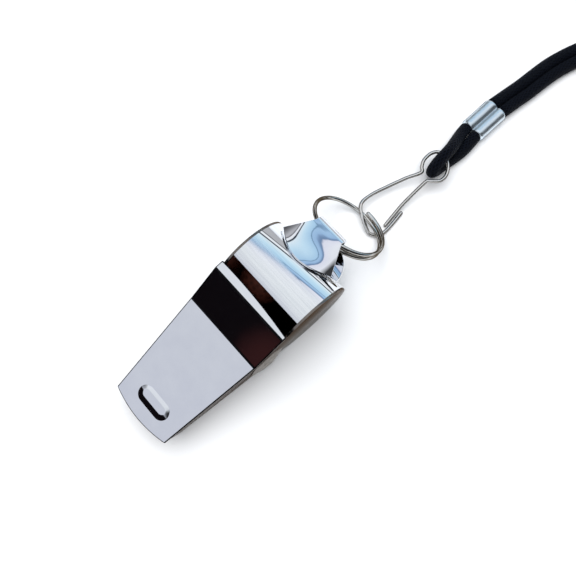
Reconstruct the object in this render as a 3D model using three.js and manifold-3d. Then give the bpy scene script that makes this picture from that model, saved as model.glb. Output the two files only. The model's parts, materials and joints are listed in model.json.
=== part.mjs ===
// Pea whistle on a neck lanyard, lying on a table with its window up.
// Millimetres, +Z up. +X runs from the mouthpiece to the ring, +Y is the whistle's left side.
// The shapes are laid out from the barrel's axis; the last group moves them to the part's own origin.
import * as THREE from "three";
import { mergeVertices } from "three/addons/utils/BufferGeometryUtils.js";
import Module from "manifold-3d";

const wasm = await Module();
wasm.setup();

// ---------------------------------------------------------------- driving dimensions
const SHEET = 0.5; // thickness of the pressed steel sheet
const GAP = 0.05; // seam between two soldered sheets
const BARREL_SEAM = 0.15; // from the barrel to the sheets that are fitted round it
const BARREL_RADIUS = 9.2;
const BARREL_WIDTH = 19;
const RESTING_TILT = 17; // degrees, with the barrel and the tip's lower edge on the table

// Side profile of the mouthpiece, in the whistle's own frame: from the barrel's axis, x towards the ring.
const TIP = { x: -37.2, z: 9.35 };
const CREASE = { x: -12.6, z: 8.66 };
const HOOD = { x: -4.34, z: 10.55 };
const LIP = { x: -2.0, z: 9.94 };
const BASE_REAR = { x: -8.9, z: -2.0 };
const TIP_BOW = 1.2; // how far the middle of the tip stands in front of its corners
const TIP_HALF = 7.65;
const CREASE_HALF = 9.47;
const HOOD_HALF = 9.62;
const WALL_SETBACK = 0.12; // the top plate overhangs the side walls by this all along
const WALL_INSET = 0.35; // and by this much more at the tip
const WINDWAY = 1.1; // height of the slit where the air leaves

// Blanks that are cut down later reach past the whistle by a few millimetres.
const BLANK_HALF = 12;
const BLANK_LOW = -5;
const BLANK_HIGH = 25;

const LABIUM_ANGLE = -19.3; // degrees from the top of the barrel, positive towards the ring
const BAND_FRONT_ANGLE = 314;

const PEA_RADIUS = 4.9;
const PEA_SIDE = 3.9; // the pea lies this far to the left
const PEA_FORWARD = 25; // degrees round the barrel from its lowest point, towards the mouthpiece

const STRAP_THICKNESS = 0.5;
const STRAP_HALF_AT_FOLD = 3.5;
const STRAP_SIDE = 0.5; // the strap sits this far to the left of the middle
const FOLD = { x: 14.27, z: -0.99, radius: 1.35 }; // inside radius of the fold, in the whistle's frame

const RING_RADIUS = 8.3;
const RING_WIRE = 0.9;
const RING_PITCH = 1.05; // the wire goes round one and a half times, so it lies double on the right
const RING_TURNS = 1.5;
const RING_LEAN = 44.3; // degrees below the horizontal
const RING_SIDE = 0.2;
const RING_ARM = 7.9; // from the fold's axis to the ring's centre

const HOOK_WIRE = 0.8;
const CORD = 2.7;
const CRIMP = { x0: 56.0, x1: 63.7, y: -1.65, z: 1.65, lobe: 1.6 };
// The unseen cord lies in a hank of two layers: runs along X, and round folds at both ends.
const HANK = { x: 109, y: -3.2, run: 42, outerLane: 11.5, innerLane: 6.1, lift: 0.7, layers: 2 };
const TIE = { thickness: 0.4, width: 5, clearance: 0.3 };

// ---------------------------------------------------------------- materials
function metal(color, roughness) {
  return new THREE.MeshStandardMaterial({ color, roughness, metalness: 1 });
}
const mirrorSteel = metal(0xd4d7dc, 0.08);
const brushedSteel = metal(0xd6dbe2, 0.3);
const springWire = metal(0xb9b6ae, 0.18);
const solder = metal(0x8d8a84, 0.45);
const crimpMetal = metal(0xb9c9d6, 0.35);
const cork = new THREE.MeshStandardMaterial({ color: 0x5a2a1e, roughness: 0.75, metalness: 0 });
const blackCord = new THREE.MeshStandardMaterial({ color: 0x0d1119, roughness: 0.8, metalness: 0 });
const tieBand = new THREE.MeshStandardMaterial({ color: 0x15161a, roughness: 0.6, metalness: 0 });

// ---------------------------------------------------------------- solids and booleans
function solidOf(geometry) {
  const bare = geometry.clone();
  bare.deleteAttribute("normal");
  bare.deleteAttribute("uv");
  const merged = mergeVertices(bare, 1e-4);
  return new wasm.Manifold(
    new wasm.Mesh({
      numProp: 3,
      vertProperties: new Float32Array(merged.attributes.position.array),
      triVerts: new Uint32Array(merged.index.array),
    }),
  );
}

function geometryOf(solid) {
  const mesh = solid.getMesh();
  const geometry = new THREE.BufferGeometry();
  geometry.setAttribute("position", new THREE.BufferAttribute(mesh.vertProperties, 3));
  geometry.setIndex(new THREE.BufferAttribute(mesh.triVerts, 1));
  geometry.computeVertexNormals();
  return geometry;
}

function named(name, geometry, material) {
  const mesh = new THREE.Mesh(geometry, material);
  mesh.name = name;
  return mesh;
}

function shapeOf(points) {
  return new THREE.Shape(points.map(([a, b]) => new THREE.Vector2(a, b)));
}

// A flat outline in X and Z, drawn out along Y.
function alongY(points, y0, y1) {
  const geometry = new THREE.ExtrudeGeometry(shapeOf(points), { depth: y1 - y0, bevelEnabled: false });
  return geometry.rotateX(Math.PI / 2).translate(0, y1, 0);
}

// A plan outline in X and Y, drawn out along Z.
function alongZ(points, z0, z1) {
  const geometry = new THREE.ExtrudeGeometry(shapeOf(points), { depth: z1 - z0, bevelEnabled: false });
  return geometry.translate(0, 0, z0);
}

function acrossBlank(points) {
  return solidOf(alongY(points, -BLANK_HALF, BLANK_HALF));
}

function planBlank(points) {
  return solidOf(alongZ(points, BLANK_LOW, BLANK_HIGH));
}

// A round wire or cord along a curve.
function sweep(path, diameter, sides, steps) {
  const section = Array.from({ length: sides }, (_, i) => {
    const angle = (2 * Math.PI * i) / sides;
    return [(diameter / 2) * Math.cos(angle), (diameter / 2) * Math.sin(angle)];
  });
  return new THREE.ExtrudeGeometry(shapeOf(section), { steps, extrudePath: path, bevelEnabled: false });
}

function tube(points, diameter, sides, steps) {
  const route = new THREE.CatmullRomCurve3(points.map(([x, y, z]) => new THREE.Vector3(x, y, z)));
  return sweep(route, diameter, sides, steps);
}

// ---------------------------------------------------------------- frames and outlines
const rad = THREE.MathUtils.degToRad;
const tiltCos = Math.cos(rad(RESTING_TILT));
const tiltSin = Math.sin(rad(RESTING_TILT));

// A point of the whistle's own side view, as it stands on the table.
function standing(x, z) {
  return [x * tiltCos - z * tiltSin, BARREL_RADIUS + x * tiltSin + z * tiltCos];
}

// A point on a circle round the barrel's axis; degrees from the top, positive towards the ring.
function roundBarrel(radius, degrees) {
  return [radius * Math.sin(rad(degrees)), BARREL_RADIUS + radius * Math.cos(rad(degrees))];
}

function barrelArc(radius, from, to, steps) {
  return Array.from({ length: steps + 1 }, (_, i) => roundBarrel(radius, from + ((to - from) * i) / steps));
}

// A closed circle round the barrel's axis.
function barrelDisc(radius, sides) {
  return barrelArc(radius, 0, 360 - 360 / sides, sides - 1);
}

// The room the barrel needs in the sheets that are fitted round it.
function barrelRoom() {
  return solidOf(alongY(barrelDisc(BARREL_RADIUS + BARREL_SEAM, 48), -BLANK_HALF - 1, BLANK_HALF + 1));
}

// The point that lies `depth` below a line of the side profile, measured square to that line.
function below(point, direction, depth) {
  const length = Math.hypot(direction.x, direction.z);
  return [point.x + (direction.z / length) * depth, point.z - (direction.x / length) * depth];
}

const plateDirection = { x: CREASE.x - TIP.x, z: CREASE.z - TIP.z };
const hoodDirection = { x: HOOD.x - CREASE.x, z: HOOD.z - CREASE.z };
const lipDirection = { x: LIP.x - HOOD.x, z: LIP.z - HOOD.z };
// The tip's lower edge touches the table.
const tipBottomZ = (-TIP.x * tiltSin - BARREL_RADIUS) / tiltCos;
const baseSlope = (BASE_REAR.z - tipBottomZ) / (BASE_REAR.x - TIP.x);
const baseTopZ = (x) => tipBottomZ + SHEET + baseSlope * (x - TIP.x);

// Half the mouthpiece's width at each of its cross lines, as x in the standing frame.
const tipX = standing(TIP.x, TIP.z)[0];
const creaseX = standing(CREASE.x, CREASE.z)[0];
const hoodX = standing(HOOD.x, HOOD.z)[0];

function taperedPlan(inset, insetAtTip, tipExtra, rearX, bow) {
  const tipHalf = TIP_HALF - inset - insetAtTip;
  const side = [
    [creaseX, CREASE_HALF - inset],
    [hoodX, HOOD_HALF - inset],
    [rearX, HOOD_HALF - inset],
  ];
  const bowSteps = 12;
  const tipEdge = Array.from({ length: bowSteps + 1 }, (_, i) => {
    const across = 1 - (2 * i) / bowSteps;
    return [tipX - tipExtra - bow * (1 - across * across), across * -tipHalf];
  });
  const right = side.map(([x, half]) => [x, -half]).reverse();
  return [...side, ...right, ...tipEdge];
}

// ---------------------------------------------------------------- mouthpiece
function topPlate() {
  const front = { x: TIP.x - 2.5, z: TIP.z + 2.5 * (-plateDirection.z / plateDirection.x) };
  const upper = [front, CREASE, HOOD, LIP].map((p) => standing(p.x, p.z));
  const lower = [
    below(LIP, lipDirection, SHEET),
    below(HOOD, hoodDirection, SHEET),
    below(CREASE, hoodDirection, SHEET),
    below(front, plateDirection, SHEET),
  ].map(([x, z]) => standing(x, z));
  const strip = acrossBlank([...upper, ...lower]);
  // The lip's rear edge runs a little askew, so the window is wider on the right.
  const lipLeftX = -5.3;
  const lipRightX = -6.3;
  const plan = taperedPlan(0, 0, 0, hoodX + 0.5, TIP_BOW);
  plan[2] = [lipLeftX, HOOD_HALF];
  plan[3] = [lipRightX, -HOOD_HALF];
  return strip.intersect(planBlank(plan));
}

function sideWalls() {
  const profile = [
    [TIP.x + 0.3, baseTopZ(TIP.x) + GAP],
    [TIP.x + 0.3, TIP.z - SHEET / 2],
    [CREASE.x, CREASE.z - SHEET / 2],
    [HOOD.x, HOOD.z - SHEET / 2],
    [HOOD.x + 0.4, HOOD.z - 1.5],
    [BASE_REAR.x + 3, baseTopZ(BASE_REAR.x + 3) + GAP],
  ].map(([x, z]) => standing(x, z));
  const block = acrossBlank(profile);
  const outer = planBlank(taperedPlan(WALL_SETBACK, WALL_INSET, 1, 0, 0));
  const innerPlan = taperedPlan(WALL_SETBACK + SHEET, WALL_INSET, 4, 3, 0);
  const inner = solidOf(alongZ(innerPlan, BLANK_LOW - 1, BLANK_HIGH + 1));
  const barrel = barrelRoom();
  return block.intersect(outer).subtract(inner).subtract(barrel);
}

// The oval ridge for the teeth: a low cone drawn out sideways.
function toothRidge() {
  const ridge = { x: -33.15, height: 0.85, topHalf: 1.05, baseHalf: 1.8, straight: 2.25, sunk: 0.3 };
  const cone = new THREE.CylinderGeometry(ridge.topHalf, ridge.baseHalf, ridge.height + ridge.sunk, 32);
  cone.rotateX(Math.PI / 2);
  const position = cone.attributes.position;
  for (let i = 0; i < position.count; i++) {
    const y = position.getY(i);
    position.setY(i, y + (y > 1e-6 ? ridge.straight : -ridge.straight));
  }
  const slope = Math.atan2(plateDirection.z, plateDirection.x);
  cone.rotateY(-(rad(RESTING_TILT) + slope));
  const plateZ = TIP.z + ((ridge.x - TIP.x) * plateDirection.z) / plateDirection.x;
  const [x, z] = standing(ridge.x, plateZ + (ridge.height - ridge.sunk) / 2);
  return solidOf(cone.translate(x, -0.2, z));
}

function mouthpieceShell() {
  return topPlate().add(sideWalls()).add(toothRidge());
}

function basePlate() {
  const profile = [
    [TIP.x, tipBottomZ],
    [TIP.x, baseTopZ(TIP.x)],
    [BASE_REAR.x + 3, baseTopZ(BASE_REAR.x + 3)],
    [BASE_REAR.x + 3, baseTopZ(BASE_REAR.x + 3) - SHEET],
  ].map(([x, z]) => standing(x, z));
  const plate = acrossBlank(profile);
  const plan = planBlank(taperedPlan(WALL_SETBACK, WALL_INSET, 1, 0, 0));
  const barrel = barrelRoom();
  return plate.intersect(plan).subtract(barrel);
}

// The windway's floor: it rises from the base plate to just under the hood and aims the air at the labium.
function windwayTongue() {
  const floorDepth = SHEET + WINDWAY;
  const footX = -32;
  const riseX = -30;
  const upper = [
    [footX, baseTopZ(footX) + GAP + SHEET],
    [riseX, baseTopZ(riseX) + GAP + SHEET],
    below(CREASE, hoodDirection, floorDepth),
    below(HOOD, hoodDirection, floorDepth),
  ];
  const lower = [
    below(HOOD, hoodDirection, floorDepth + SHEET),
    below(CREASE, hoodDirection, floorDepth + SHEET),
    [riseX + 0.3, baseTopZ(riseX + 0.3) + GAP],
    [footX, baseTopZ(footX) + GAP],
  ];
  const strip = acrossBlank([...upper, ...lower].map(([x, z]) => standing(x, z)));
  const inside = WALL_SETBACK + SHEET + GAP;
  return strip.intersect(planBlank(taperedPlan(inside, WALL_INSET, 1, 3, 0)));
}

// ---------------------------------------------------------------- barrel
function barrelBand() {
  const outer = barrelArc(BARREL_RADIUS, LABIUM_ANGLE, BAND_FRONT_ANGLE, 60);
  const inner = barrelArc(BARREL_RADIUS - SHEET, LABIUM_ANGLE, BAND_FRONT_ANGLE, 60).reverse();
  const half = BARREL_WIDTH / 2 - SHEET;
  return alongY([...outer, ...inner], -half, half);
}

function cheek(side) {
  const half = BARREL_WIDTH / 2;
  const disc = barrelDisc(BARREL_RADIUS, 60);
  return side > 0 ? alongY(disc, half - SHEET, half) : alongY(disc, -half, SHEET - half);
}

// A bead of solder in the corner between the side wall and the cheek, drawn out to a point at both ends.
function solderBead(side) {
  const bead = new THREE.SphereGeometry(1, 16, 10);
  const half = { length: 3.4, height: 0.4, width: 3.2 };
  bead.scale(half.length, half.height, half.width);
  const [x, z] = standing(-11.9, 1.4);
  return bead.translate(x, side * (BARREL_WIDTH / 2 + half.height + 0.03), z);
}

function pea() {
  const clearance = 0.15;
  const ball = new THREE.SphereGeometry(PEA_RADIUS, 24, 16);
  const [x, z] = roundBarrel(BARREL_RADIUS - SHEET - clearance - PEA_RADIUS, 180 + PEA_FORWARD);
  return ball.translate(x, PEA_SIDE, z);
}

// ---------------------------------------------------------------- hanger strap
// Centre line of the strap's side view: a foot on the barrel, a leg to the fold, and back.
function strapProfile() {
  const footRadius = BARREL_RADIUS + GAP;
  const outerRadius = footRadius + STRAP_THICKNESS;
  const onCircle = (radius, degrees) => [radius * Math.cos(rad(degrees)), radius * Math.sin(rad(degrees))];
  const footEnd = 40;
  const footStart = 27;
  const foot = (radius, from, to) =>
    Array.from({ length: 5 }, (_, i) => onCircle(radius, from + ((to - from) * i) / 4));
  const fold = (radius) =>
    Array.from({ length: 11 }, (_, i) => {
      const angle = rad(80 - 16 * i);
      return [FOLD.x + radius * Math.cos(angle), FOLD.z + radius * Math.sin(angle)];
    });
  const outside = [
    ...foot(outerRadius, footEnd, footStart),
    ...fold(FOLD.radius + STRAP_THICKNESS),
    ...foot(outerRadius, -footStart - 8, -footEnd - 8),
  ];
  const inside = [
    ...foot(footRadius, -footEnd - 8, -footStart - 6),
    ...fold(FOLD.radius).reverse(),
    ...foot(footRadius, footStart - 2, footEnd),
  ];
  return [...outside, ...inside].map(([x, z]) => standing(x, z));
}

// Plan outline of one leg: half widths at the foot's end, the foot, the leg and the fold.
function legPlan(footX, footHalf, kneeX, kneeHalf) {
  const foldX = standing(FOLD.x, FOLD.z)[0];
  const half = [
    [footX - 2.6, footHalf * 0.35],
    [footX - 1.7, footHalf * 0.7],
    [footX, footHalf],
    [kneeX, kneeHalf],
    [foldX + 0.6, STRAP_HALF_AT_FOLD],
    [foldX + 4, STRAP_HALF_AT_FOLD],
  ];
  const left = half.map(([x, y]) => [x, STRAP_SIDE + y]);
  const right = half.map(([x, y]) => [x, STRAP_SIDE - y]).reverse();
  return [...left, ...right];
}

function hangerStrap() {
  const strip = acrossBlank(strapProfile());
  const [, foldZ] = standing(FOLD.x, FOLD.z);
  const upperLeg = strip.intersect(solidOf(alongZ(legPlan(7.6, 6.9, 12.9, 4.5), foldZ - 0.01, BLANK_HIGH)));
  const lowerLeg = strip.intersect(solidOf(alongZ(legPlan(9.0, 7.4, 13.0, 6.2), BLANK_LOW, foldZ)));
  return upperLeg.add(lowerLeg);
}

// ---------------------------------------------------------------- split ring
const foldAxis = standing(FOLD.x, FOLD.z);
const ringCentre = {
  x: foldAxis[0] + RING_ARM * Math.cos(rad(RING_LEAN)),
  z: foldAxis[1] - RING_ARM * Math.sin(rad(RING_LEAN)),
};

// The wire starts at the fold, goes round by the right and the left, and by the right again to the low point.
class RingHelix extends THREE.Curve {
  getPoint(t, target = new THREE.Vector3()) {
    const angle = 2 * Math.PI * RING_TURNS * t - Math.PI;
    const rise = RING_PITCH * RING_TURNS * (t - 0.5);
    return target.set(RING_RADIUS * Math.cos(angle), RING_RADIUS * Math.sin(angle), rise);
  }
}

function splitRing() {
  const ring = sweep(new RingHelix(), RING_WIRE, 8, 66);
  ring.rotateY(rad(RING_LEAN));
  return ring.translate(ringCentre.x, RING_SIDE, ringCentre.z);
}

// ---------------------------------------------------------------- wire hook
// From the hook's free end, round under the ring, up its left leg, and round the eye that holds the cord.
const hookRoute = [
  [31.8, -4.4, 0.45],
  [29.3, -4.8, 0.45],
  [26.7, -5.05, 0.45],
  [24.6, -4.75, 0.45],
  [23.4, -3.1, 0.8],
  [23.75, -1.4, 1.35],
  [24.5, 0.45, 2.05],
  [25.45, 2.1, 2.35],
  [27.0, 3.0, 2.25],
  [29.9, 2.8, 1.9],
  [34.0, 1.65, 1.8],
  [37.7, 0.3, 2.3],
  [40.6, -1.1, 2.95],
  [41.5, -0.3, 3.2],
  [43.0, 0.5, 3.3],
  [45.2, 0.5, 3.3],
  [46.6, -0.6, 3.3],
  [46.5, -2.8, 3.3],
  [45.2, -4.5, 3.3],
  [43.6, -5.4, 3.3],
  [42.1, -5.3, 3.2],
  [41.0, -4.3, 3.05],
];

// The springy right leg, from the neck to the tip that rests against the hook's free end.
const latchRoute = [
  [40.1, -3.3, 2.8],
  [37.3, -3.25, 2.2],
  [33.1, -3.35, 1.4],
  [29.9, -3.7, 0.75],
  [27.3, -4.05, 0.5],
];

// ---------------------------------------------------------------- lanyard
const cordRadius = CORD / 2;

// The bight: from one lobe of the crimp over the eye's far wire, and back under it to the other lobe.
const bightRoute = [
  [55.7, CRIMP.y + 1.4, 1.65],
  [53.5, -0.1, 2.3],
  [51.0, -0.7, 3.4],
  [48.6, -1.4, 4.6],
  [46.3, -2.0, 5.15],
  [44.2, -2.3, 4.7],
  [43.0, -2.5, 3.3],
  [44.0, -2.7, 1.9],
  [46.3, -3.0, 1.4],
  [49.2, -3.6, 1.4],
  [52.0, -3.8, 1.45],
  [55.7, CRIMP.y - 1.4, 1.65],
];

// The right strand runs into the hank's lower layer, and the left one comes off its upper layer.
const rightStrandRoute = [
  [64.0, -3.05, 1.6],
  [68, -3.45, 1.4],
  [72, -3.95, 1.36],
  [76, -4.25, 1.36],
  [80, -4.7, 1.36],
  [84, -5.6, 1.36],
  [88, -6.95, 1.36],
  [92, -8.4, 1.36],
  [96, -10.1, 1.4],
  [100, -12.0, 1.55],
  [103.5, -13.6, 1.8],
];

const leftStrandRoute = [
  [64.0, -0.25, 1.6],
  [68, -0.7, 1.4],
  [72, -1.2, 1.36],
  [76, -1.5, 1.36],
  [80.3, -1.95, 1.36],
  [84.7, -2.95, 1.36],
  [88.9, -4.2, 1.36],
  [92.3, -4.2, 1.36],
  [95.2, -2.4, 1.45],
  [97.6, 0.6, 1.9],
  [99.8, 3.9, 2.8],
  [102.6, 6.7, 3.9],
];

function stadium(radius) {
  const steps = 20;
  const halfCircle = (x, from) =>
    Array.from({ length: steps + 1 }, (_, i) => {
      const angle = rad(from + (180 * i) / steps);
      return [x + radius * Math.cos(angle), HANK.y + radius * Math.sin(angle)];
    });
  return [...halfCircle(HANK.x + HANK.run, -90), ...halfCircle(HANK.x, 90)];
}

const hankTop = HANK.lift + HANK.layers * CORD;

function cordHank() {
  const block = solidOf(alongZ(stadium(HANK.outerLane + cordRadius), HANK.lift, hankTop));
  const middle = solidOf(alongZ(stadium(HANK.innerLane - cordRadius), HANK.lift - 1, hankTop + 1));
  return block.subtract(middle);
}

function strand(route) {
  const whole = solidOf(tube(route, CORD, 8, 20));
  const hankRoom = solidOf(alongZ(stadium(HANK.outerLane + cordRadius + TIE.clearance), -1, hankTop + 1));
  return whole.subtract(hankRoom);
}

function crimpFerrule() {
  const lobeSteps = 12;
  const lobeArc = 1.6 * Math.PI; // the lobes meet in a groove above and below
  const lobe = (centre, from) =>
    Array.from({ length: lobeSteps + 1 }, (_, i) => {
      const angle = from + lobeArc * (i / lobeSteps - 0.5);
      return [centre + CRIMP.lobe * Math.cos(angle), CRIMP.lobe * Math.sin(angle)];
    });
  const outline = [...lobe(cordRadius, 0), ...lobe(-cordRadius, Math.PI)];
  const geometry = new THREE.ExtrudeGeometry(shapeOf(outline), {
    depth: CRIMP.x1 - CRIMP.x0,
    bevelEnabled: false,
  });
  geometry.rotateX(Math.PI / 2).rotateZ(Math.PI / 2);
  return geometry.translate(CRIMP.x0, CRIMP.y, CRIMP.z);
}

// A flat band round the middle of the hank, under it and over it.
function hankTie() {
  const middleX = HANK.x + HANK.run / 2;
  const half = HANK.outerLane + cordRadius + TIE.clearance;
  const slab = (halfLength, halfWidth, z0, z1) =>
    solidOf(
      alongZ(
        [
          [middleX - halfLength, HANK.y - halfWidth],
          [middleX + halfLength, HANK.y - halfWidth],
          [middleX + halfLength, HANK.y + halfWidth],
          [middleX - halfLength, HANK.y + halfWidth],
        ],
        z0,
        z1,
      ),
    );
  const top = hankTop + TIE.clearance;
  const bottom = HANK.lift - TIE.clearance;
  const outside = slab(TIE.width / 2, half + TIE.thickness, bottom - TIE.thickness, top + TIE.thickness);
  return outside.subtract(slab(TIE.width, half, bottom, top));
}

// ---------------------------------------------------------------- assembly
const whistle = new THREE.Group();
whistle.add(
  named("mouthpiece_shell", geometryOf(mouthpieceShell()), mirrorSteel),
  named("mouthpiece_base_plate", geometryOf(basePlate()), mirrorSteel),
  named("windway_tongue", geometryOf(windwayTongue()), mirrorSteel),
  named("barrel_band", barrelBand(), brushedSteel),
  named("left_cheek", cheek(1), mirrorSteel),
  named("right_cheek", cheek(-1), mirrorSteel),
  named("left_solder_bead", solderBead(1), solder),
  named("right_solder_bead", solderBead(-1), solder),
  named("pea", pea(), cork),
  named("hanger_strap", geometryOf(hangerStrap()), mirrorSteel),
);

const ringAndHook = new THREE.Group();
ringAndHook.add(
  named("split_ring", splitRing(), springWire),
  named("hook_wire", tube(hookRoute, HOOK_WIRE, 8, 90), springWire),
  named("hook_latch", tube(latchRoute, HOOK_WIRE, 8, 16), springWire),
);

const lanyard = new THREE.Group();
lanyard.add(
  named("crimp_ferrule", crimpFerrule(), crimpMetal),
  named("cord_bight", tube(bightRoute, CORD, 8, 36), blackCord),
  named("cord_right_strand", geometryOf(strand(rightStrandRoute)), blackCord),
  named("cord_left_strand", geometryOf(strand(leftStrandRoute)), blackCord),
  named("cord_hank", geometryOf(cordHank()), blackCord),
  named("hank_tie", geometryOf(hankTie()), tieBand),
);

// The origin is on the table, under the middle of the whistle with its ring and hook.
const seated = new THREE.Box3().setFromObject(whistle).expandByObject(ringAndHook);
const middle = seated.getCenter(new THREE.Vector3());
const part = new THREE.Group();
part.add(whistle, ringAndHook, lanyard);
part.position.set(-middle.x, -middle.y, -seated.min.z);

export default part;
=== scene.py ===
import json
import math

import bmesh
import bpy
from mathutils import Matrix, Vector


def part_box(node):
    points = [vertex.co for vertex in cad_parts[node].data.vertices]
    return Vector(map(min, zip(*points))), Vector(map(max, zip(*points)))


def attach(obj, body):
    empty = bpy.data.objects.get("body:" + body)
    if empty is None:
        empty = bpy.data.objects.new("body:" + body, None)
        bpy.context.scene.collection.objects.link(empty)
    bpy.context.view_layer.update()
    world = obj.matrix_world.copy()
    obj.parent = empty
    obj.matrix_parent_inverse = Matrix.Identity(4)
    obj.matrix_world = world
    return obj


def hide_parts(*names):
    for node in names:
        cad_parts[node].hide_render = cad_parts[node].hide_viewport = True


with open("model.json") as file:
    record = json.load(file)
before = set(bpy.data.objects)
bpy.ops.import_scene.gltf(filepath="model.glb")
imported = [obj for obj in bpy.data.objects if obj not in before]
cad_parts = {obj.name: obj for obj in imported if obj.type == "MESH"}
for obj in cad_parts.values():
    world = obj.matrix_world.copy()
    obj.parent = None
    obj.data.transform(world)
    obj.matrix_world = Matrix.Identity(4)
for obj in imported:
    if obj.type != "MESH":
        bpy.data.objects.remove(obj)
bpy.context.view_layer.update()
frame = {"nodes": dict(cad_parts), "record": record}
MM = 0.001

# ---------------------------------------------------------------- places taken from the frame
JOINTS = {joint["name"]: joint for joint in frame["record"]["behaviour"]["joints"]}
cheek_low, cheek_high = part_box("left_cheek")
BARREL_X = (cheek_low[0] + cheek_high[0]) / 2
BARREL_RADIUS = (cheek_high[2] - cheek_low[2]) / 2
BARREL_Z = (cheek_low[2] + cheek_high[2]) / 2
FOLD = Vector(JOINTS["ring_swing"]["pos_m"])  # the middle of the strap's fold, where the ring hangs
crimp_low, crimp_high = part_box("crimp_ferrule")

# ---------------------------------------------------------------- sizes
BARREL_MM = 9.2  # the barrel's radius, and the height of its axis above the table, in millimetres
RESTING_TILT = math.radians(17)  # the whistle rests on its barrel and on the lower edge of its tip
BRUSHED_TO = 2.8 * MM  # the brushed part of the barrel ends this far behind its middle
SHEET_MM = 0.5
SHEET = SHEET_MM * MM
RING_RADIUS = 8.3 * MM
RING_ARM = 7.9 * MM  # from the strap's fold to the ring's middle
RING_LEAN = math.radians(44.3)
RING_SIDE = 0.2 * MM
RING_WIRE = 0.9 * MM
RING_PITCH = 1.05 * MM
RING_TURNS = 1.5
HOOK_WIRE = 0.8 * MM
CORD_MM = 2.7
CORD = CORD_MM * MM


def at(x, y, z):
    """A point in millimetres from the barrel's middle line on the table, in the row frame."""
    return Vector((x * MM + BARREL_X, y * MM, z * MM))


def standing(x, y, z):
    """A point in the whistle's own frame, in millimetres from the barrel's axis, as it rests."""
    tilt_cos, tilt_sin = math.cos(RESTING_TILT), math.sin(RESTING_TILT)
    return at(x * tilt_cos - z * tilt_sin, y, BARREL_MM + x * tilt_sin + z * tilt_cos)


def round_barrel(radius, degrees, y):
    """A point round the barrel's axis; degrees from the top, positive towards the ring."""
    angle = math.radians(degrees)
    return at(radius * math.sin(angle), y, BARREL_MM + radius * math.cos(angle))


# ---------------------------------------------------------------- camera
CAMERA_PLACE = (-9.576, -20.157, 119.177)
CAMERA_RIGHT = Vector((0.74074, -0.66810, -0.07033))
CAMERA_UP = Vector((0.66842, 0.72249, 0.17669))
CAMERA_BACK = Vector((-0.06724, -0.17789, 0.98175))
CAMERA_SENSOR = 36
CAMERA_LENS = 34.3525
CAMERA_SHIFT = (0.0263542, 0.0109375)


def make_camera():
    camera = bpy.data.cameras.new("camera")
    camera.sensor_width = CAMERA_SENSOR
    camera.lens = CAMERA_LENS
    camera.shift_x, camera.shift_y = CAMERA_SHIFT
    camera.clip_start = 0.005
    camera.clip_end = 10
    holder = bpy.data.objects.new("camera", camera)
    bpy.context.collection.objects.link(holder)
    turn = Matrix((CAMERA_RIGHT, CAMERA_UP, CAMERA_BACK)).transposed().to_4x4()
    holder.matrix_world = Matrix.Translation(at(*CAMERA_PLACE)) @ turn
    bpy.context.scene.camera = holder


# ---------------------------------------------------------------- node trees
class Graph:
    """Short spellings for building a node tree."""

    def __init__(self, tree):
        self.tree = tree

    def add(self, kind, **settings):
        node = self.tree.nodes.new(kind)
        for key, value in settings.items():
            setattr(node, key, value)
        return node

    def link(self, source, target):
        self.tree.links.new(source, target)

    def split(self, vector):
        node = self.add("ShaderNodeSeparateXYZ")
        self.link(vector, node.inputs["Vector"])
        return node.outputs["X"], node.outputs["Y"], node.outputs["Z"]

    def math(self, operation, a, b=None):
        node = self.add("ShaderNodeMath", operation=operation)
        for socket, value in zip(node.inputs, (a, b)):
            if isinstance(value, (int, float)):
                socket.default_value = value
            elif value is not None:
                self.link(value, socket)
        return node.outputs["Value"]

    def ranged(self, value, start, end, low=0, high=1, **settings):
        """The value carried over from the range start..end to the range low..high."""
        node = self.add("ShaderNodeMapRange", **settings)
        node.inputs["From Min"].default_value = start
        node.inputs["From Max"].default_value = end
        node.inputs["To Min"].default_value = low
        node.inputs["To Max"].default_value = high
        self.link(value, node.inputs["Value"])
        return node.outputs["Result"]

    def ramp(self, value, stops):
        node = self.add("ShaderNodeValToRGB")
        elements = node.color_ramp.elements
        while len(elements) < len(stops):
            elements.new(0.5)
        for element, (position, colour) in zip(elements, stops):
            element.position = position
            element.color = (*colour, 1)
        self.link(value, node.inputs["Fac"])
        return node.outputs["Color"]

    def mix(self, factor, output, **settings):
        """A colour mixed with another one, whose socket is left to set or to link."""
        node = self.add("ShaderNodeMix", data_type="RGBA", **settings)
        if isinstance(factor, (int, float)):
            node.inputs["Factor"].default_value = factor
        else:
            self.link(factor, node.inputs["Factor"])
        self.link(output, node.inputs["A"])
        return node


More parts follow.
